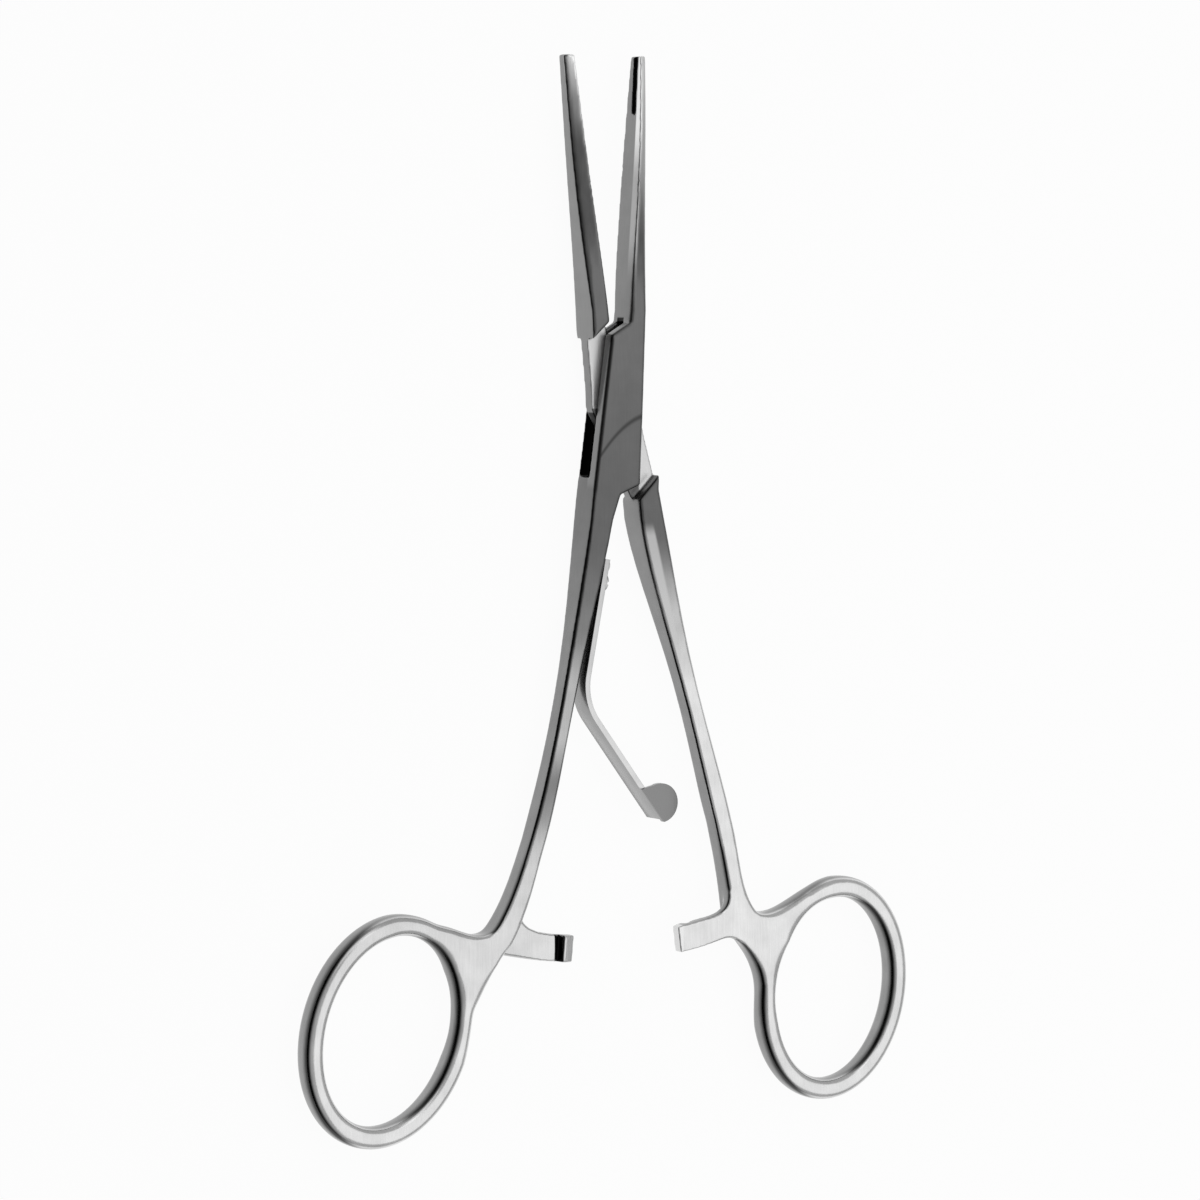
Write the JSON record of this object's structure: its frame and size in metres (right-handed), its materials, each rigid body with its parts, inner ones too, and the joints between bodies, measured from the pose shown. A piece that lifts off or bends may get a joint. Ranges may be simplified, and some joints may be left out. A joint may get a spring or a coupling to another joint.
{
  "type": "surgical clip applier",
  "caption": "Ring-handled clip applier with a box lock, slim grooved jaws, a bent return leaf spring and a ratchet bar beside each finger ring.",
  "frame": {"origin": "on the pivot axis, at the under side of the box lock, where the instrument lies", "axes": "+Y along the instrument towards the jaw tips, +X to the right of the face seen in the picture, +Z out of that face along the pivot axis"},
  "size_m": [0.1105, 0.1657, 0.0056],
  "materials": {
    "forged_steel": "satin ground stainless steel",
    "spring_steel": "polished spring steel strip",
    "screw_steel": "turned stainless steel"
  },
  "bodies": {
    "female_half": {"female_arm": "forged_steel", "pivot_pin": "forged_steel", "leaf_spring": "spring_steel", "spring_screw": "screw_steel", "spring_pin": "screw_steel"},
    "male_half": {"male_arm": "forged_steel"}
  },
  "joints": [
    {"name": "box_lock", "type": "hinge", "parent": "female_half", "child": "male_half", "pos_m": [0, 0, 0.0028], "axis": [0, 0, 1], "range_deg": [-12.3, 0], "deforming": ["leaf_spring"]}
  ]
}
